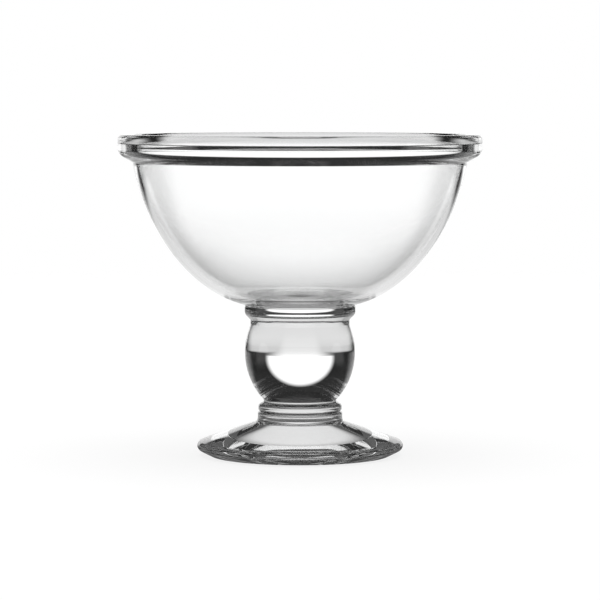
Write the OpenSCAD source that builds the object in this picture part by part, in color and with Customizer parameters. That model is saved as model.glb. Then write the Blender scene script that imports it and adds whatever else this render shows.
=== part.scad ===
// Footed dessert glass in clear glass, standing on the table at Z = 0 with its axis on Z.
// Each piece is a gather of glass turned about the axis, fused flat on the piece below it.
// An outline is a list of corners [radius, height, rounding], walked round its section.

/* [Foot] */
// Diameter across the rounded edge of the foot
foot_d = 68; // [60:1:84]
// Height of the foot, from the table to its flat top
foot_h = 14.5; // [13:0.5:18]
// Height at which the sloping top meets the edge
foot_edge_h = 4.5; // [3.6:0.1:5.5]
// Rounding of the edge
foot_edge_round = 1.7; // [0.5:0.1:2]
// How far the ring that the foot stands on lies in from the edge
foot_ring_in = 4.5; // [3:0.1:6]
// Width of the flat ring that the foot stands on
foot_ring_w = 1.6; // [1:0.1:2.5]
// How far the hollow's steep side starts in from the ring
hollow_in = 8.9; // [7:0.1:10]
// Height at which the hollow's steep side starts
hollow_edge_h = 2.5; // [1.8:0.1:3.2]
// Thickness of the foot at the axis, over the hollow
foot_roof = 4.5; // [3.6:0.1:6]
// How far the edge of the hollow's level roof lies in from the notch
roof_in = 4; // [3:0.1:5]
// How far the upright land stands out beyond the notch above it
land_out = 1; // [0.8:0.1:3]
// Height of the upright land
foot_land_h = 3.2; // [2:0.1:4.5]
// Rounding where the land rises out of the slope
foot_fillet = 1.6; // [0.5:0.1:3]

/* [Lower collar] */
// How far the small bead between foot and ball stands out beyond the waist above it
small_bead_out = 1.8; // [1.2:0.1:3]
// Height of the small bead
lower_collar_h = 3.9; // [3:0.1:6]
// How deep the notch under the small bead is
notch_in = 0.8; // [0.7:0.1:1.2]

/* [Ball knop] */
// Widest diameter of the ball
ball_d = 36.4; // [30:0.2:46]
// Height that the whole ball would have if its ends weren't cut
ball_full_h = 42.2; // [34:0.2:50]
// How far the ball tucks in to the waist where it stands on the small bead
ball_tuck = 6.2; // [4:0.1:8]
// How far the ball tucks in to the neck of the upper collar
ball_shoulder = 1.8; // [1:0.1:4]

/* [Upper collar] */
// How far the bead under the bowl stands out beyond its neck
collar_out = 1.95; // [1.4:0.05:3]
// Height of the upper collar with its short neck
upper_collar_h = 6.5; // [5:0.1:9]
// Height of the short neck
neck_h = 1.5; // [0.8:0.1:2.2]
// Rounding of the bead's lower edge
collar_round = 2.2; // [0.8:0.1:3]

/* [Bowl] */
// Outer diameter of the wall where the rim sits on it
mouth_d = 110; // [92:1:130]
// Height of the bowl, from its flat base to the rim
bowl_h = 46.6; // [36:0.2:60]
// Slope of the wall at the base, from level
base_slope = 13; // [5:1:25]
// Slope of the wall at the rim, from level
mouth_slope = 80; // [70:1:86]
// Thickness of the wall at the rim
lip_wall = 1.5; // [1.2:0.1:2.4]
// Thickness of the wall low down, where the floor begins
base_wall = 2; // [1.6:0.1:2.8]
// Thickness of the floor at the axis
floor_t = 3.6; // [3:0.1:6]

/* [Rim] */
// Height of the rolled rim above the wall
rim_h = 9.4; // [8.4:0.1:12]
// How far the rim stands out beyond the wall
rim_overhang = 5; // [3:0.1:6]
// Slope of the rim's underside, from level
rim_slope = 30; // [24:1:38]
// Rounding where the underside turns up into the outer side
rim_round = 2.2; // [0.8:0.1:3]
// Rounding of the outer top edge
rim_edge_round = 1.8; // [0.8:0.1:2.6]
// Height of the plain neck under the rim
rim_neck_h = 0.6; // [0.5:0.05:1.2]

/* [Hidden] */
glass_tint = "gainsboro";
glass_alpha = 0.55;

// Smoothness: edges round a turned piece, degrees to an edge on a rounding, edges to a long curve
$fn = 128;
round_step = 9;
curve_edges = 26;

// Small roundings, shared by the seams between pieces
seam_round = 0.6;
ring_round = 0.7;
hollow_round = 1;
roof_round = 3;

// Shares: how much of a side roundings may take, and how far the handles of the curves reach
side_share = 0.98;
wall_handle_shares = [0.353, 0.313];
floor_handle_shares = [0.4, 0.3];
floor_end_share = 0.12;
bead_height_share = 0.6;

// Radii of the stem, worked out from the ball
ball_r = ball_d / 2;
neck_r = ball_r - ball_shoulder;
waist_r = ball_r - ball_tuck;
collar_r = neck_r + collar_out;
small_bead_r = waist_r + small_bead_out;
notch_r = small_bead_r - notch_in;

// Radii of the mouth and the rim
mouth_r = mouth_d / 2;
lip_inner_r = mouth_r - lip_wall;
rim_r = mouth_r + rim_overhang;

// Heights of the ball's ends from its middle, and of the seams between pieces from the table
waist_drop = ball_full_h / 2 * sqrt(1 - pow(waist_r / ball_r, 2));
neck_rise = ball_full_h / 2 * sqrt(1 - pow(neck_r / ball_r, 2));
foot_top = foot_h;
collar_top = foot_top + lower_collar_h;
ball_middle = collar_top + waist_drop;
ball_top = ball_middle + neck_rise;
bowl_base = ball_top + upper_collar_h;
bowl_top = bowl_base + bowl_h;
glass_top = bowl_top + rim_h;

function unit(v) = v / norm(v);
function flat(corner) = [corner[0], corner[1]];
function bearing(v) = atan2(v[1], v[0]);
function left_of(v) = [-v[1], v[0]];
function heading(slope) = [cos(slope), sin(slope)];

// Signed turn from one direction to another, between -180 and 180 degrees
function turn(from, to) = atan2(from[0] * to[1] - from[1] * to[0], from * to);

// Place of a corner's neighbour, round a closed outline
function neighbour(corners, i, step) = flat(corners[(i + step + len(corners)) % len(corners)]);

// Half of the angle inside a corner
function half_angle(corners, i) =
    let(
        tip = flat(corners[i]),
        back = unit(neighbour(corners, i, -1) - tip),
        ahead = unit(neighbour(corners, i, 1) - tip)
    )
    acos(back * ahead) / 2;

// How far a corner's rounding would run along its sides if they were long enough
function wanted_reach(corners, i) =
    corners[i][2] == 0 ? 0 : corners[i][2] / tan(half_angle(corners, i));

// The same, with each side shared out between the roundings at its two ends
function reach(corners, i) =
    let(count = len(corners), wanted = wanted_reach(corners, i))
    min([for (j = [(i + count - 1) % count, (i + 1) % count])
        let(side = norm(flat(corners[j]) - flat(corners[i])))
        wanted * min(1, side_share * side / (wanted + wanted_reach(corners, j)))]);

// The points that replace a corner by its rounding
function rounded_corner(corners, i) =
    let(
        tip = flat(corners[i]),
        back = unit(neighbour(corners, i, -1) - tip),
        ahead = unit(neighbour(corners, i, 1) - tip),
        run = reach(corners, i),
        radius = run * tan(half_angle(corners, i)),
        centre = tip + unit(back + ahead) * norm([run, radius]),
        start = tip + back * run - centre,
        sweep = turn(start, tip + ahead * run - centre),
        steps = max(1, ceil(abs(sweep) / round_step))
    )
    [for (k = [0:steps]) centre + radius * heading(bearing(start) + sweep * k / steps)];

// An outline of plain and rounded corners
function outline(corners) =
    [for (i = [0:len(corners) - 1])
        each corners[i][2] == 0 ? [flat(corners[i])] : rounded_corner(corners, i)];

// A cubic curve between two points, leaving and arriving along the given directions
function curve(from, from_dir, to, to_dir, shares, t) =
    let(
        span = norm(to - from),
        leave = from + from_dir * span * shares[0],
        arrive = to - to_dir * span * shares[1],
        s = 1 - t
    )
    s * s * s * from + 3 * s * s * t * leave + 3 * s * t * t * arrive + t * t * t * to;

// Outside of the bowl's wall, from the base at t = 0 to the rim at t = 1
function wall_outside(t) =
    curve([collar_r, bowl_base], heading(base_slope),
        [mouth_r, bowl_top], heading(mouth_slope), wall_handle_shares, t);

// Direction of the wall at t, taken across one edge of the curve
function wall_dir(t) =
    let(half_edge = 1 / curve_edges / 2)
    unit(wall_outside(min(1, t + half_edge)) - wall_outside(max(0, t - half_edge)));

// Inside of the wall: the outside moved in by a thickness that grows towards the floor
function wall_inside(t) =
    wall_outside(t) + left_of(wall_dir(t)) * (base_wall + (lip_wall - base_wall) * t);

// Floor of the bowl, level at the axis and running into the wall at floor_end_share
function floor_inside(t) =
    curve([0, bowl_base + floor_t], heading(0),
        wall_inside(floor_end_share), wall_dir(floor_end_share), floor_handle_shares, t);

// A piece turned about the axis from its section
module turned(section) {
    color(glass_tint, glass_alpha)
        rotate_extrude()
            polygon(section);
}

// Low cone on a flat ring, with a thick rounded edge, an upright land and a deep hollow under it
module foot() {
    edge_r = foot_d / 2;
    ring_r = edge_r - foot_ring_in;
    ring_inner_r = ring_r - foot_ring_w;
    roof_h = foot_h - foot_roof;
    land_r = notch_r + land_out;
    // The edge is widest halfway up
    edge_middle = foot_edge_h / 2;
    turned(outline([
        [0, roof_h, 0],
        [notch_r - roof_in, roof_h, roof_round],
        [ring_inner_r - hollow_in, hollow_edge_h, hollow_round],
        [ring_inner_r, 0, 0],
        [ring_r, 0, ring_round],
        [edge_r, edge_middle, foot_edge_round],
        [edge_r, foot_edge_h, foot_edge_round],
        [land_r, foot_top - foot_land_h, foot_fillet],
        [land_r, foot_top, seam_round],
        [notch_r, foot_top, 0],
        [0, foot_top, 0],
    ]));
}

// Small bead between the foot and the ball, with a notch under it
module lower_collar() {
    bead_top = foot_top + lower_collar_h * bead_height_share;
    turned(outline([
        [0, foot_top, 0],
        [notch_r, foot_top, 0],
        [small_bead_r, foot_top + seam_round, seam_round],
        [small_bead_r, bead_top, seam_round * 2],
        [waist_r, collar_top - seam_round, seam_round],
        [waist_r, collar_top, 0],
        [0, collar_top, 0],
    ]));
}

// Solid ball, taller than wide, cut flat where it meets the two collars
module ball_knop() {
    half_h = ball_full_h / 2;
    low = -acos(waist_r / ball_r);
    high = acos(neck_r / ball_r);
    side = [for (i = [0:curve_edges])
        let(a = low + (high - low) * i / curve_edges)
        [ball_r * cos(a), ball_middle + half_h * sin(a)]];
    turned([[0, collar_top], each side, [0, ball_top]]);
}

// Bead under the bowl, on a short neck
module upper_collar() {
    neck_top = ball_top + neck_h;
    turned(outline([
        [0, ball_top, 0],
        [neck_r, ball_top, 0],
        [neck_r, neck_top, seam_round],
        [collar_r, neck_top + collar_out, collar_round],
        [collar_r, bowl_base, seam_round],
        [collar_r - seam_round * 2, bowl_base, 0],
        [0, bowl_base, 0],
    ]));
}

// Thin wall, wide and half round, thicker towards its floor
module bowl() {
    outside = [for (i = [0:curve_edges]) wall_outside(i / curve_edges)];
    inside = [for (i = [curve_edges - 1:-1:1])
        wall_inside(floor_end_share + (1 - floor_end_share) * i / curve_edges)];
    floor = [for (i = [curve_edges:-1:0]) floor_inside(i / curve_edges)];
    turned([[0, bowl_base], each outside, [lip_inner_r, bowl_top], each inside, each floor]);
}

// Thick rolled rim: round on its inner top edge, upright outside, sloping back in to the wall below
module rim_bead() {
    roll_r = (rim_r - lip_inner_r) / 2;
    neck_top = bowl_top + rim_neck_h;
    turned(outline([
        [lip_inner_r, bowl_top, 0],
        [mouth_r, bowl_top, 0],
        [mouth_r, neck_top, seam_round * 2],
        [rim_r, neck_top + rim_overhang * tan(rim_slope), rim_round],
        [rim_r, glass_top, rim_edge_round],
        [lip_inner_r, glass_top, roll_r],
    ]));
}

foot();
lower_collar();
ball_knop();
upper_collar();
bowl();
rim_bead();
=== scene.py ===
# %% [markdown]
# # A low footed dessert glass
#
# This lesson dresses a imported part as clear, colourless glass. The part comes in as six solids: a foot,
# a small collar, a ball, a larger collar, a bowl and a rolled rim. Glass has almost no colour of its own,
# so everything that shows is the room around it, bent by its shape. Two things decide the picture: very
# smooth, closed surfaces, and a plan of where the studio is light and where it is dark.

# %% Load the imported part
import math
import bmesh
import bpy
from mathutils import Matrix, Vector, noise
from mathutils.geometry import interpolate_bezier


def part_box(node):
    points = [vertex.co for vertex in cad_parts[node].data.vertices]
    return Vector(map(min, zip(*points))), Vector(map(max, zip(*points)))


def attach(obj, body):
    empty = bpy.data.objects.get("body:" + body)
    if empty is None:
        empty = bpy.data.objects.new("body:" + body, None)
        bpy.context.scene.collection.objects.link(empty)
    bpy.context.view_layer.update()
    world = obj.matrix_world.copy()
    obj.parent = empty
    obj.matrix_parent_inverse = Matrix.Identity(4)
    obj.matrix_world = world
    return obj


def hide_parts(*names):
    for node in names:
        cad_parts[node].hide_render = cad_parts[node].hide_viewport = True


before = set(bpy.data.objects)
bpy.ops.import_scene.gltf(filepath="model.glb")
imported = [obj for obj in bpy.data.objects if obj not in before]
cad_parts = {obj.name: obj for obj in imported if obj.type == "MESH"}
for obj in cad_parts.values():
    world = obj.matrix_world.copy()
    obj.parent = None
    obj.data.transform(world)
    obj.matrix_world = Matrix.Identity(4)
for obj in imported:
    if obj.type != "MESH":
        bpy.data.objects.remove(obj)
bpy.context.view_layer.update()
MM = 0.001
print("solids:", sorted(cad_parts))

# %% [markdown]
# ## The camera first
#
# The photograph looks at the glass from just above the rim, with a long lens, so the ellipse of the mouth
# is thin and nothing looks stretched. The camera is placed before anything else, because every later
# judgement is made through it. `to_track_quat` turns it towards the point it aims at.

# %% Camera
CAMERA_PLACE = Vector((0, -1.0, 0.118))
CAMERA_AIM = Vector((0, 0, 0.0513))
CAMERA_LENS = 182.3
CAMERA_NEAR = 0.01

camera_data = bpy.data.cameras.new("camera")
camera_data.lens = CAMERA_LENS
camera_data.clip_start = CAMERA_NEAR
camera = bpy.data.objects.new("camera", camera_data)
camera.location = CAMERA_PLACE
camera.rotation_euler = (CAMERA_AIM - CAMERA_PLACE).to_track_quat("-Z", "Y").to_euler()
bpy.context.scene.collection.objects.link(camera)
bpy.context.scene.camera = camera
print("camera distance, m:", round((CAMERA_AIM - CAMERA_PLACE).length, 3))

# %% [markdown]
# ## Measuring the solids
#
# Each piece of the glass is a gather that was worked to shape and fused on the one below. The dressed
# pieces have to stand exactly where the solids stand, so the main radii and heights are read from the
# solids' boxes instead of being typed in again. They are kept in millimetres, which read more easily.

# %% Radii and heights
def radius_of(node):
    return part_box(node)[1].x / MM


def top_of(node):
    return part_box(node)[1].z / MM


foot_r = radius_of("foot")
bead_r = radius_of("lower_collar")
ball_r = radius_of("ball_knop")
collar_r = radius_of("upper_collar")
mouth_r = radius_of("bowl")
rim_r = radius_of("rim_bead")

foot_top = top_of("foot")
bead_top = top_of("lower_collar")
ball_top = top_of("ball_knop")
bowl_base = top_of("upper_collar")
bowl_top = top_of("bowl")
glass_top = top_of("rim_bead")
print("radii, mm:", [round(r, 2) for r in (foot_r, bead_r, ball_r, collar_r, mouth_r, rim_r)])
print("heights, mm:", [round(h, 2) for h in (foot_top, bead_top, ball_top, bowl_base, bowl_top, glass_top)])

# %% [markdown]
# ## Drawing a section
#
# Blown and pressed glass has no truly sharp edge: fire polishing melts each one into a small arc. So a
# section is drawn as a list of corners, each with a radius and height and the size of its rounding, and
# a Bezier curve replaces each rounded corner. With handles of the right length it follows a circle to a
# few hundredths of a percent. Two roundings that meet on one short side share its length between them.
#
# Smooth shading blends the normals along a face from one end to the other. A long straight side next to
# a rounding would look bent all along, and glass shows that at once. So each long side gets a support
# point close to both of its ends, and the blend stays inside those short pieces.

# %% Corners into an outline
ARC_POINTS = 14
SIDE_SHARE = 0.98
LONG_SIDE = 0.8
SUPPORT = 0.08


def corner_place(corners, i):
    """Radius and height of a corner; the list is read round and round."""
    return Vector(corners[i % len(corners)][:2])


def half_angle(corners, i):
    """Half of the angle between the two sides that meet at a corner."""
    tip = corner_place(corners, i)
    return (corner_place(corners, i - 1) - tip).angle(corner_place(corners, i + 1) - tip) / 2


def wanted_reach(corners, i):
    """How far along its two sides a rounding would run with all the room it needs."""
    rounding = corners[i % len(corners)][2]
    return rounding / math.tan(half_angle(corners, i)) if rounding else 0


def reach(corners, i):
    """How far it does run, cut short where a side has to be shared."""
    wanted = wanted_reach(corners, i)
    limits = [wanted]
    for j in (i - 1, i + 1):
        side = (corner_place(corners, j) - corner_place(corners, i)).length
        limits.append(wanted * SIDE_SHARE * side / (wanted + wanted_reach(corners, j)))
    return min(limits)


def arc(corners, i):
    """The rounding of a corner, as a Bezier curve that is very nearly an arc of a circle."""
    tip = corner_place(corners, i)
    back = (corner_place(corners, i - 1) - tip).normalized()
    ahead = (corner_place(corners, i + 1) - tip).normalized()
    half = half_angle(corners, i)
    run = reach(corners, i)
    sweep = math.pi - 2 * half
    handle = 4 / 3 * math.tan(sweep / 4) * run * math.tan(half)
    start, end = tip + back * run, tip + ahead * run
    return interpolate_bezier(start, start - back * handle, end - ahead * handle, end, ARC_POINTS)


def supported(points):
    """Adds a point close to both ends of each long side."""
    full = points[:1]
    for start, end in zip(points, points[1:]):
        side = end - start
        if side.length > LONG_SIDE:
            step = side.normalized() * SUPPORT
            full += [start + step, end - step]
        full.append(end)
    return full


def outline(corners):
    """Turns corners of (radius, height, rounding) into a line of points."""
    points = []
    for i, corner in enumerate(corners):
        points += arc(corners, i) if corner[2] else [corner_place(corners, i)]
    return [tuple(point) for point in supported([Vector(p[:2]) for p in points])]


# %% [markdown]
# ## Turning a section
#
# A round glass could be made from a cylinder that is pushed about, or with a Screw modifier. Spinning the
# section in bmesh is more exact: `bmesh.ops.spin` with `use_merge` closes the turn, `remove_doubles`
# closes the poles on the axis, and the normals are then recalculated so that all of them face outwards.
# Hand-worked glass is never perfectly round, so each point moves in by a few hundredths of a millimetre,
# by a smooth noise of its place. The same place moves the same way on two neighbours, so seams stay shut.
#
# The flat seats, where two gathers are fused, are not surfaces at all in the real glass. They get a
# second material slot, which is fully transparent, so that light passes from piece to piece unbent.

# %% Turned pieces
TURN_STEPS = 256
MERGE = 1e-7
FLAT = 1e-6
SHARP_EDGE = math.radians(28)
WAVE_DEPTH = 0.06 * MM
WAVE_LENGTH = 22 * MM
CALM_RADIUS = 12 * MM
GLASS_SLOT, SEAT_SLOT = 0, 1


def settle(place):
    """Moves a point in towards the axis by a smooth noise, and less and less near the axis itself."""
    away = Vector((place.x, place.y, 0))
    share = 0.5 + 0.5 * noise.noise(place / WAVE_LENGTH)
    calm = min(1, away.length / CALM_RADIUS)
    return place - away.normalized() * (WAVE_DEPTH * share * calm)


def is_seat(face, seats):
    """True for a face on one of the flat seats, each given by its height and radius."""
    for height, radius in seats:
        flat = all(abs(v.co.z - height * MM) < FLAT for v in face.verts)
        if flat and all(math.hypot(v.co.x, v.co.y) < radius * MM + FLAT for v in face.verts):
            return True
    return False


def turned(name, section, seats, closed=False):
    """Spins a section of (radius, height) points into a closed piece with its seats marked."""
    bm = bmesh.new()
    points = [bm.verts.new((r * MM, 0, z * MM)) for r, z in section]
    pairs = list(zip(points, points[1:]))
    if closed:
        pairs.append((points[-1], points[0]))
    edges = [bm.edges.new(pair) for pair in pairs]
    bmesh.ops.spin(bm, geom=points + edges, cent=(0, 0, 0), axis=(0, 0, 1),
                   angle=math.tau, steps=TURN_STEPS, use_merge=True)
    bmesh.ops.remove_doubles(bm, verts=bm.verts, dist=MERGE)
    bmesh.ops.dissolve_degenerate(bm, edges=bm.edges, dist=MERGE)
    bmesh.ops.recalc_face_normals(bm, faces=bm.faces)
    for face in bm.faces:
        face.smooth = True
        face.material_index = SEAT_SLOT if is_seat(face, seats) else GLASS_SLOT
    for vert in bm.verts:
        vert.co = settle(vert.co)
    mesh = bpy.data.meshes.new(name)
    bm.to_mesh(mesh)
    bm.free()
    mesh.set_sharp_from_angle(angle=SHARP_EDGE)
    piece = bpy.data.objects.new(name, mesh)
    bpy.context.scene.collection.objects.link(piece)
    print(name, "faces:", len(mesh.polygons))
    return piece


# %% [markdown]
# ## The foot
#
# The foot is a low cone with a thick rounded edge. It stands on a narrow ring. Inside the ring the glass
# rises in a shallow bevel, and then a deep hollow goes up under the stem to a flat roof. From the camera
# the hollow shows through the cone as a pale panel with dark lines round it, so the corners of the hollow
# matter as much as the outside does.

# %% Foot
SEAM_ROUND = 0.6
NOTCH_DEPTH = 0.8
LAND_WIDTH = 1
LAND_H = 3.2
LAND_ROUND = 1.6
EDGE_H = 4.5
EDGE_ROUND = 1.7
RING_SET_IN = 4.5
RING_WIDTH = 1.6
RING_ROUND = 0.7
ROOF_THICKNESS = 4.5
ROOF_SET_IN = 2.5
ROOF_ROUND = 1.5
BEVEL_WIDTH = 5.9
BEVEL_H = 1.3
BEVEL_ROUND = 1

notch_r = bead_r - NOTCH_DEPTH
land_r = notch_r + LAND_WIDTH
ring_r = foot_r - RING_SET_IN
ring_inner_r = ring_r - RING_WIDTH
roof_h = foot_top - ROOF_THICKNESS

foot = turned("glass_foot", outline([
    (0, roof_h, 0),
    (notch_r - ROOF_SET_IN, roof_h, ROOF_ROUND),
    (ring_inner_r - BEVEL_WIDTH, BEVEL_H, BEVEL_ROUND),
    (ring_inner_r, 0, 0),
    (ring_r, 0, RING_ROUND),
    (foot_r, EDGE_H / 2, EDGE_ROUND),
    (foot_r, EDGE_H, EDGE_ROUND),
    (land_r, foot_top - LAND_H, LAND_ROUND),
    (land_r, foot_top, SEAM_ROUND),
    (notch_r, foot_top, 0),
    (0, foot_top, 0),
]), seats=[(foot_top, notch_r)])

# %% [markdown]
# ## The two collars
#
# A collar is a thread of hot glass laid round the stem and pressed to a bead. Each is a thick ring of
# glass seen edge on, which is why it looks nearly black with bright lines in it. The lower one has a
# notch under it and slopes in to the waist of the ball. The upper one stands on a short neck.

# %% Collars
WAIST_STEP = 1.8
NECK_STEP = 1.95
NECK_H = 1.5
BEAD_FULL_SHARE = 0.6
COLLAR_ROUND = 2.2

waist_r = bead_r - WAIST_STEP
neck_r = collar_r - NECK_STEP
bead_h = bead_top - foot_top
neck_top = ball_top + NECK_H
seat_r = collar_r - SEAM_ROUND

lower_collar = turned("glass_lower_collar", outline([
    (0, foot_top, 0),
    (notch_r, foot_top, 0),
    (bead_r, foot_top + SEAM_ROUND, SEAM_ROUND),
    (bead_r, foot_top + bead_h * BEAD_FULL_SHARE, SEAM_ROUND * 2),
    (waist_r, bead_top - SEAM_ROUND, SEAM_ROUND),
    (waist_r, bead_top, 0),
    (0, bead_top, 0),
]), seats=[(foot_top, notch_r), (bead_top, waist_r)])

upper_collar = turned("glass_upper_collar", outline([
    (0, ball_top, 0),
    (neck_r, ball_top, 0),
    (neck_r, neck_top, SEAM_ROUND),
    (collar_r, neck_top + collar_r - neck_r, COLLAR_ROUND),
    (collar_r, bowl_base, SEAM_ROUND),
    (0, bowl_base, 0),
]), seats=[(ball_top, neck_r), (bowl_base, seat_r)])

# %% [markdown]
# ## The ball
#
# The ball is solid, so it works as a lens and shows the whole studio upside down: the table above, the
# bright backdrop in the middle, and the dark ceiling below. Its section is an arc of an ellipse, a little
# taller than it is wide, cut off flat where it meets the collars.

# %% Ball
BALL_STEPS = 120
BALL_HALF_HEIGHT = 21.1

low_angle = -math.acos(waist_r / ball_r)
high_angle = math.acos(neck_r / ball_r)
ball_middle = ball_top - BALL_HALF_HEIGHT * math.sin(high_angle)
angles = [low_angle + (high_angle - low_angle) * i / BALL_STEPS for i in range(BALL_STEPS + 1)]
ball_side = [(ball_r * math.cos(a), ball_middle + BALL_HALF_HEIGHT * math.sin(a)) for a in angles]
ball_side[0] = (waist_r, bead_top)
ball_side[-1] = (neck_r, ball_top)

ball = turned("glass_ball", [(0, bead_top), *ball_side, (0, ball_top)],
              seats=[(bead_top, waist_r), (ball_top, neck_r)])

# %% [markdown]
# ## The bowl
#
# The outside of the wall is one Bezier curve from the collar to the rim, nearly level at the bottom and
# nearly upright at the top. The inside is the same curve moved in by the wall's thickness, which grows
# from a millimetre and a half at the rim to two low down, and the floor is a second curve that runs into
# it. A Solidify modifier makes a wall of one thickness, so the two curves are drawn here instead.

# %% Bowl
WALL_STEPS = 110
FLOOR_STEPS = 24
BASE_SLOPE = math.radians(13)
MOUTH_SLOPE = math.radians(80)
WALL_HANDLES = (0.353, 0.313)
FLOOR_HANDLES = (0.4, 0.3)
LIP_WALL = 1.5
BASE_WALL = 2.0
FLOOR_THICKNESS = 3.6
FLOOR_END_SHARE = 0.12

lip_inner_r = mouth_r - LIP_WALL


def heading(slope):
    """The direction that climbs outwards at a slope."""
    return Vector((math.cos(slope), math.sin(slope)))


def curve(start, start_dir, end, end_dir, handles, steps):
    """A Bezier curve whose two handles are given as shares of the straight distance."""
    span = (end - start).length
    return interpolate_bezier(start, start + start_dir * span * handles[0],
                              end - end_dir * span * handles[1], end, steps + 1)


outside = curve(Vector((collar_r, bowl_base)), heading(BASE_SLOPE),
                Vector((mouth_r, bowl_top)), heading(MOUTH_SLOPE), WALL_HANDLES, WALL_STEPS)


def wall_dir(i):
    """Which way the outside of the wall runs at one of its points."""
    return (outside[min(i + 1, WALL_STEPS)] - outside[max(i - 1, 0)]).normalized()


def wall_inside(i):
    """The point of the inside that lies straight across the wall."""
    along = wall_dir(i)
    thickness = BASE_WALL + (LIP_WALL - BASE_WALL) * i / WALL_STEPS
    return outside[i] + Vector((-along.y, along.x)) * thickness


floor_end = round(FLOOR_END_SHARE * WALL_STEPS)
inside = [wall_inside(i) for i in range(WALL_STEPS - 1, floor_end, -1)]
bowl_floor = curve(Vector((0, bowl_base + FLOOR_THICKNESS)), Vector((1, 0)),
                   wall_inside(floor_end), wall_dir(floor_end), FLOOR_HANDLES, FLOOR_STEPS)

bowl = turned("glass_bowl", [
    (0, bowl_base),
    (seat_r, bowl_base),
    *outside,
    (lip_inner_r, bowl_top),
    *inside,
    *reversed(bowl_floor),
], seats=[(bowl_base, seat_r), (bowl_top, mouth_r)])

# %% [markdown]
# ## The rim
#
# The rim is the strongest feature of this glass: a thick rolled edge that stands out beyond the wall. Its
# outside is upright, its underside sweeps back in with the widest rounding, and its inner top edge is
# rounder than the outer one. The section does not touch the axis, so this outline is closed before it is
# spun, and it needs no poles.

# %% Rim
RIM_NECK = 0.1
RIM_SLOPE = math.radians(28)
RIM_UNDER_ROUND = 3.8
RIM_TOP_ROUND = 1.8

rim_neck_h = bowl_top + RIM_NECK
under_h = rim_neck_h + (rim_r - mouth_r) * math.tan(RIM_SLOPE)

rim = turned("glass_rim", outline([
    (lip_inner_r, bowl_top, 0),
    (mouth_r, bowl_top, 0),
    (mouth_r, rim_neck_h, SEAM_ROUND * 2),
    (rim_r, under_h, RIM_UNDER_ROUND),
    (rim_r, glass_top, RIM_TOP_ROUND),
    (lip_inner_r, glass_top, (rim_r - lip_inner_r) / 2),
]), seats=[(bowl_top, mouth_r)], closed=True)

# %% [markdown]
# ## What a glass surface has
#
# Fire-polished glass is not a perfect mirror. It has long, very shallow waves from the mould, which run
# more round the glass than up it, and a faint haze in patches where it was handled. One node group makes
# both for all four materials. It puts out only a tint, a roughness and a height, and the glass shader
# itself stays in each material, where an exporter can still read it.

# %% Fired surface group
WAVE_FLATTENING = 1.8
WAVE_DETAIL = 1.5
PATCH_SCALE = 34
HAZE_START, HAZE_FULL = 0.5, 0.8
CLEAREST_TINT = (1.0, 1.0, 1.0, 1)
DEEPEST_TINT = (0.985, 0.99, 0.99, 1)
USUAL_INPUTS = {"Wave Scale": 60.0, "Haze": 0.01}


def add(nodes, kind, **values):
    """Adds a node and sets its properties."""
    node = nodes.new(kind)
    for key, value in values.items():
        setattr(node, key, value)
    return node


fired = bpy.data.node_groups.new("fired_surface", "ShaderNodeTree")
for socket_name, default in USUAL_INPUTS.items():
    socket = fired.interface.new_socket(socket_name, in_out="INPUT", socket_type="NodeSocketFloat")
    socket.default_value = default
fired.interface.new_socket("Tint", in_out="OUTPUT", socket_type="NodeSocketColor")
fired.interface.new_socket("Roughness", in_out="OUTPUT", socket_type="NodeSocketFloat")
fired.interface.new_socket("Height", in_out="OUTPUT", socket_type="NodeSocketFloat")

group_in = add(fired.nodes, "NodeGroupInput")
group_out = add(fired.nodes, "NodeGroupOutput")
place = add(fired.nodes, "ShaderNodeTexCoord")
stretch = add(fired.nodes, "ShaderNodeMapping")
stretch.inputs["Scale"].default_value = (1, 1, WAVE_FLATTENING)
waves = add(fired.nodes, "ShaderNodeTexNoise")
waves.inputs["Detail"].default_value = WAVE_DETAIL
patches = add(fired.nodes, "ShaderNodeTexNoise")
patches.inputs["Scale"].default_value = PATCH_SCALE
haze = add(fired.nodes, "ShaderNodeMapRange", interpolation_type="SMOOTHSTEP")
haze.inputs["From Min"].default_value = HAZE_START
haze.inputs["From Max"].default_value = HAZE_FULL
tint = add(fired.nodes, "ShaderNodeMix", data_type="RGBA")
tint.inputs["A"].default_value = CLEAREST_TINT
tint.inputs["B"].default_value = DEEPEST_TINT

link = fired.links.new
link(place.outputs["Object"], stretch.inputs["Vector"])
link(stretch.outputs["Vector"], waves.inputs["Vector"])
link(group_in.outputs["Wave Scale"], waves.inputs["Scale"])
link(place.outputs["Object"], patches.inputs["Vector"])
link(patches.outputs["Fac"], haze.inputs["Value"])
link(group_in.outputs["Haze"], haze.inputs["To Max"])
link(patches.outputs["Fac"], tint.inputs["Factor"])
link(waves.outputs["Fac"], group_out.inputs["Height"])
link(haze.outputs["Result"], group_out.inputs["Roughness"])
link(tint.outputs["Result"], group_out.inputs["Tint"])
print("group outputs:", [s.name for s in fired.interface.items_tree if s.in_out == "OUTPUT"])

# %% [markdown]
# ## Four glasses and a seat
#
# The four materials differ only in how fine and how strong the waves are, and in the haze: the bowl has
# the longest waves, and the foot the finest waves and the most haze, because it is handled most.
# Transmission, metal and refraction index are constants, so they are set on the shader's own sockets. The
# seat material is the same shader with an opacity of nothing.

# %% Glass materials
GLASS_INDEX = 1.5
WAVE_HEIGHT = 0.1 * MM


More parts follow.
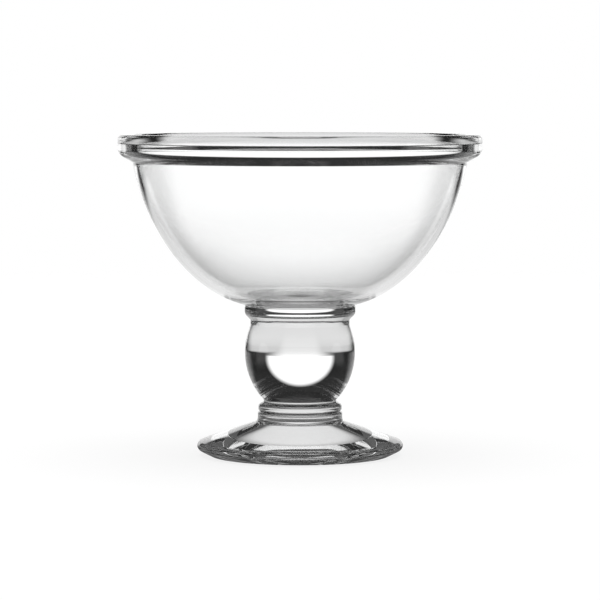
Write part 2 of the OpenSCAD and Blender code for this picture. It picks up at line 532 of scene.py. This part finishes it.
def glass_material(name, wave_scale, wave_strength, haze_amount):
    material = bpy.data.materials.new(name)
    material.use_nodes = True
    nodes, links = material.node_tree.nodes, material.node_tree.links
    shader = nodes["Principled BSDF"]
    shader.inputs["IOR"].default_value = GLASS_INDEX
    shader.inputs["Transmission Weight"].default_value = 1
    shader.inputs["Metallic"].default_value = 0
    surface = add(nodes, "ShaderNodeGroup", node_tree=fired)
    surface.inputs["Wave Scale"].default_value = wave_scale
    surface.inputs["Haze"].default_value = haze_amount
    bump = add(nodes, "ShaderNodeBump")
    bump.inputs["Strength"].default_value = wave_strength
    bump.inputs["Distance"].default_value = WAVE_HEIGHT
    links.new(surface.outputs["Tint"], shader.inputs["Base Color"])
    links.new(surface.outputs["Roughness"], shader.inputs["Roughness"])
    links.new(surface.outputs["Height"], bump.inputs["Height"])
    links.new(bump.outputs["Normal"], shader.inputs["Normal"])
    return material


foot_glass = glass_material("foot_glass", wave_scale=70, wave_strength=0.12, haze_amount=0.008)
stem_glass = glass_material("stem_glass", wave_scale=60, wave_strength=0.12, haze_amount=0.006)
bowl_glass = glass_material("bowl_glass", wave_scale=45, wave_strength=0.15, haze_amount=0.006)
rim_glass = glass_material("rim_glass", wave_scale=60, wave_strength=0.15, haze_amount=0.006)

seat = bpy.data.materials.new("fused_seat")
seat.use_nodes = True
seat.node_tree.nodes["Principled BSDF"].inputs["Alpha"].default_value = 0
print("materials:", [m.name for m in bpy.data.materials])

# %% [markdown]
# ## Giving each piece its glass and its body
#
# Every piece stands for one solid and rides on the part's only body. The solids stay in the file for the
# physics and are not shown.

# %% Ride, replace and dress
for piece, node, slot, material in (
    (foot, "foot", "foot_glass", foot_glass),
    (lower_collar, "lower_collar", "stem_glass", stem_glass),
    (ball, "ball_knop", "stem_glass", stem_glass),
    (upper_collar, "upper_collar", "stem_glass", stem_glass),
    (bowl, "bowl", "bowl_glass", bowl_glass),
    (rim, "rim_bead", "rim_glass", rim_glass),
):
    piece.data.materials.append(material)
    piece.data.materials.append(seat)
    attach(piece, "root")
    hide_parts(node)
    print(piece.name, "stands for", node)

# %% [markdown]
# ## The studio
#
# Glass on white is lit from behind. One soft oval screen stands behind the glass, and nearly everything
# round it is dark, so that each thick edge, which gathers light from the sides, draws itself as a dark
# line. A smaller screen stands out to each side, so that the glass looks like glass from there too.
#
# Area lights could stand there as screens, but their edges are hard, and the glass would show them. The
# screens are drawn in the world instead, by the direction of the ray. The small helpers below only make
# long chains of nodes short to write.

# %% Node helpers
def maths(tree, operation, *values):
    """A maths node; numbers are set on it and sockets are linked to it."""
    node = add(tree.nodes, "ShaderNodeMath", operation=operation)
    for socket, value in zip(node.inputs, values):
        if isinstance(value, (int, float)):
            socket.default_value = value
        else:
            tree.links.new(value, socket)
    return node.outputs[0]


def ramp(tree, value, start, end, at_start, at_end):
    """Goes smoothly from one level to another while a value goes from start to end."""
    node = add(tree.nodes, "ShaderNodeMapRange", interpolation_type="SMOOTHSTEP")
    for socket, number in zip(node.inputs[1:5], (start, end, at_start, at_end)):
        socket.default_value = number
    tree.links.new(value, node.inputs[0])
    return node.outputs[0]


def mixed(tree, factor, first, second):
    """The first value where the factor is 0 and the second where it is 1."""
    node = add(tree.nodes, "ShaderNodeMix", data_type="FLOAT")
    for socket, value in zip((node.inputs[0], node.inputs[2], node.inputs[3]), (factor, first, second)):
        if isinstance(value, (int, float)):
            socket.default_value = value
        else:
            tree.links.new(value, socket)
    return node.outputs[0]


def distance(tree, across, along):
    square_across = maths(tree, "MULTIPLY", across, across)
    square_along = maths(tree, "MULTIPLY", along, along)
    return maths(tree, "SQRT", maths(tree, "ADD", square_across, square_along))


def brightest(tree, first, *others):
    for value in others:
        first = maths(tree, "MAXIMUM", first, value)
    return first


def product(tree, first, *others):
    for value in others:
        first = maths(tree, "MULTIPLY", first, value)
    return first


# %% [markdown]
# ## The oval screens
#
# The direction of a ray gives two angles: how far round it points from straight behind the glass, and how
# far up. Each is divided by the half size of a screen, so that the edge of the oval lies at a distance of
# one, and a smooth ramp across that edge makes it soft. The side screens use the same oval, with the
# angle counted from their own place, and the brightest of the ovals counts.
#
# Light Path keeps three kinds of ray apart: the camera sees plain white, rays that the glass reflects or
# lets through see the screens, and matt surfaces get an even soft light.

# %% World with oval screens
SCREEN_HALF = (math.radians(26), math.radians(16.8))
SIDE_SCREEN_HALF = (math.radians(13), math.radians(9))
SCREEN_EDGE = 0.12
SCREEN_LEVEL = 1.15
SIDE_LEVEL = 1.0
SIDE_PLACE = math.radians(97)
ROOM_LEVEL = 0.02
SOFT_LIGHT = 0.35
WHITE = 1.0
WHITE_COLOUR = (WHITE, WHITE, WHITE, 1)

world = bpy.data.worlds.new("studio")
bpy.context.scene.world = world
world.use_nodes = True
tree = world.node_tree
tree.nodes.clear()
direction = add(tree.nodes, "ShaderNodeTexCoord")
split = add(tree.nodes, "ShaderNodeSeparateXYZ")
tree.links.new(direction.outputs["Generated"], split.inputs[0])
around = maths(tree, "ARCTAN2", split.outputs["X"], split.outputs["Y"])
up = maths(tree, "ARCSINE", split.outputs["Z"])


def oval_screen(angle, half, level):
    across = maths(tree, "DIVIDE", angle, half[0])
    upwards = maths(tree, "DIVIDE", up, half[1])
    return ramp(tree, distance(tree, across, upwards), 1 - SCREEN_EDGE, 1 + SCREEN_EDGE, level, ROOM_LEVEL)


from_side = maths(tree, "SUBTRACT", maths(tree, "ABSOLUTE", around), SIDE_PLACE)
screens = brightest(tree, oval_screen(around, SCREEN_HALF, SCREEN_LEVEL),
                    oval_screen(from_side, SIDE_SCREEN_HALF, SIDE_LEVEL))
ray = add(tree.nodes, "ShaderNodeLightPath")
shown = brightest(tree, ray.outputs["Is Camera Ray"], ray.outputs["Is Glossy Ray"],
                  ray.outputs["Is Transmission Ray"])
backdrop = mixed(tree, ray.outputs["Is Camera Ray"], screens, WHITE)
background = add(tree.nodes, "ShaderNodeBackground")
background.inputs["Color"].default_value = WHITE_COLOUR
tree.links.new(mixed(tree, shown, SOFT_LIGHT, backdrop), background.inputs["Strength"])
world_out = add(tree.nodes, "ShaderNodeOutputWorld")
tree.links.new(background.outputs[0], world_out.inputs[0])
print("world nodes:", len(tree.nodes))

# %% [markdown]
# ## The table
#
# The table is a plain pale disc, a hair below the foot so that the two flat faces do not flicker.

# %% Table
TABLE_R = 1.1
TABLE_DROP = 0.1 * MM
TABLE_SEGMENTS = 128

bm = bmesh.new()
bmesh.ops.create_circle(bm, cap_ends=True, segments=TABLE_SEGMENTS, radius=TABLE_R)
bmesh.ops.translate(bm, verts=bm.verts, vec=(0, 0, -TABLE_DROP))
table_mesh = bpy.data.meshes.new("table")
bm.to_mesh(table_mesh)
bm.free()
table = bpy.data.objects.new("table", table_mesh)
bpy.context.scene.collection.objects.link(table)
print("table across, m:", 2 * TABLE_R)

# %% [markdown]
# ## What the glass sees of the table
#
# The ball works as a lens, and its grey upper half is the table turned upside down. What the glass sees
# of the table is painted light: a glow painted on the table by place, not light from the lamp, and its
# levels were matched to what the ball and the foot show of it. There are four parts of painted light, and
# the brightest of them wins: a lane that runs back towards the screen and gets brighter with distance, a
# wider patch on both sides of the lane that ends sooner, a patch in front that keeps the glass light when
# it is seen from behind, and a painted spot of light right under the hollow of the foot. Close round the
# foot the glow is kept dark, as painted shade, and that is what draws the dark band along the lower edge
# of the foot. Each part is a product of ramps over the distance from the glass and the angle round it.

# %% Painted light on the table
# Levels of the painted light and painted shade on the table, a glow that only the glass sees
NEAR_SHADE = (0.025, 0.085)
LANE_ANGLE = (math.radians(8), math.radians(30))
LANE_RISE = (0.1, 0.9)
LANE_LEVELS = (0.8, 1.15)
BACK_ANGLE = (math.radians(45), math.radians(70))
BACK_FALL = (0.1, 0.3)
BACK_LEVELS = (0.8, 0.68)
BACK_END = (0.38, 0.58)
FRONT_ANGLE = (math.radians(70), math.radians(90))
FRONT_R = (0.07, 0.2)
FRONT_LEVEL = 0.85
FOOT_SPOT_R = (0.015, 0.025)
FOOT_SPOT_LEVEL = 0.88
FOOT_SHADE_LEVEL = 0.14
FOOT_SHADE_R = (0.05, 0.1)

# The table's material holds its real pale paint for the camera and the painted light for the glass
table_paint_and_painted_light = bpy.data.materials.new("pale_table_and_painted_light")
table_paint_and_painted_light.use_nodes = True
tree = table_paint_and_painted_light.node_tree
tree.nodes.clear()
spot = add(tree.nodes, "ShaderNodeTexCoord")
split = add(tree.nodes, "ShaderNodeSeparateXYZ")
tree.links.new(spot.outputs["Object"], split.inputs[0])
radius = distance(tree, split.outputs["X"], split.outputs["Y"])
turn = maths(tree, "ABSOLUTE", maths(tree, "ARCTAN2", split.outputs["X"], split.outputs["Y"]))
# Painted light: the lane, the patches and the spot under the foot, with painted shade round the foot
lane = product(tree, ramp(tree, turn, *LANE_ANGLE, 1, 0), ramp(tree, radius, *NEAR_SHADE, 0, 1),
               ramp(tree, radius, *LANE_RISE, *LANE_LEVELS))
back = product(tree, ramp(tree, turn, *BACK_ANGLE, 1, 0), ramp(tree, radius, *NEAR_SHADE, 0, 1),
               ramp(tree, radius, *BACK_FALL, *BACK_LEVELS), ramp(tree, radius, *BACK_END, 1, 0))
front = product(tree, ramp(tree, turn, *FRONT_ANGLE, 0, 1), ramp(tree, radius, *FRONT_R, 0, FRONT_LEVEL))
under_foot = brightest(tree, ramp(tree, radius, *FOOT_SPOT_R, FOOT_SPOT_LEVEL, 0),
                       ramp(tree, radius, *FOOT_SHADE_R, FOOT_SHADE_LEVEL, ROOM_LEVEL))
painted_table_light = brightest(tree, lane, back, front, under_foot)
print("nodes for the light on the table:", len(tree.nodes))

# %% [markdown]
# ## What the camera sees of the table
#
# The camera has to see white with a faint shadow of the glass. A glow gives most of the white, and a
# little matt paint, lit by the lamp, gives the rest, so a shadow on the paint takes only a little away.
# Light Path picks between the two looks, and the far edge of the table fades into a transparent shader,
# so that the screen behind shows down to its lower edge.

# %% Table material
TABLE_FADE = (0.7, 1.1)
CAMERA_GLOW = 0.84
PAINT = 0.2

ray = add(tree.nodes, "ShaderNodeLightPath")
glow = add(tree.nodes, "ShaderNodeEmission")
glow.inputs["Color"].default_value = WHITE_COLOUR
glow.inputs["Strength"].default_value = CAMERA_GLOW
paint = add(tree.nodes, "ShaderNodeBsdfDiffuse")
paint.inputs["Color"].default_value = (PAINT, PAINT, PAINT, 1)
camera_side = add(tree.nodes, "ShaderNodeAddShader")
tree.links.new(glow.outputs[0], camera_side.inputs[0])
tree.links.new(paint.outputs[0], camera_side.inputs[1])
# The painted light is an emission, so the table glows for the glass though it is no lamp
painted_glow_for_glass = add(tree.nodes, "ShaderNodeEmission")
painted_glow_for_glass.inputs["Color"].default_value = WHITE_COLOUR
tree.links.new(painted_table_light, painted_glow_for_glass.inputs["Strength"])


def mixed_shader(factor, first, second):
    node = add(tree.nodes, "ShaderNodeMixShader")
    for socket, value in zip(node.inputs, (factor, first, second)):
        tree.links.new(value, socket)
    return node.outputs[0]


clear = add(tree.nodes, "ShaderNodeBsdfTransparent")
seen = mixed_shader(ray.outputs["Is Camera Ray"], painted_glow_for_glass.outputs[0], camera_side.outputs[0])
faded = mixed_shader(ramp(tree, radius, *TABLE_FADE, 0, 1), seen, clear.outputs[0])
table_out = add(tree.nodes, "ShaderNodeOutputMaterial")
tree.links.new(faded, table_out.inputs["Surface"])
table.data.materials.append(table_paint_and_painted_light)
print("table material nodes:", len(tree.nodes))

# %% [markdown]
# ## One soft lamp
#
# A sun lamp with a very wide angle is an even, soft light from above with no fall-off across the table.
# It gives the table its light and the glass its faint shadow. The glass itself should show only the
# screens, so the lamp is hidden from reflected and refracted rays.

# %% Lamp
LAMP_STRENGTH = 1.7
LAMP_ANGLE = math.radians(60)

lamp_data = bpy.data.lights.new("overhead", "SUN")
lamp_data.energy = LAMP_STRENGTH
lamp_data.angle = LAMP_ANGLE
lamp = bpy.data.objects.new("overhead", lamp_data)
lamp.visible_camera = False
lamp.visible_glossy = False
lamp.visible_transmission = False
bpy.context.scene.collection.objects.link(lamp)

# %% [markdown]
# ## Enough bounces, and a Standard view
#
# Light that goes through a thick rim is turned back inside it many times. With the usual few bounces
# those paths end early and leave black specks, so glass gets more. The view transform is Standard, so
# that white stays white.

# %% Bounces and view transform
GLASS_BOUNCES = 32

cycles = bpy.context.scene.cycles
cycles.max_bounces = GLASS_BOUNCES
cycles.transmission_bounces = GLASS_BOUNCES
cycles.glossy_bounces = GLASS_BOUNCES
cycles.transparent_max_bounces = GLASS_BOUNCES
bpy.context.scene.view_settings.view_transform = "Standard"
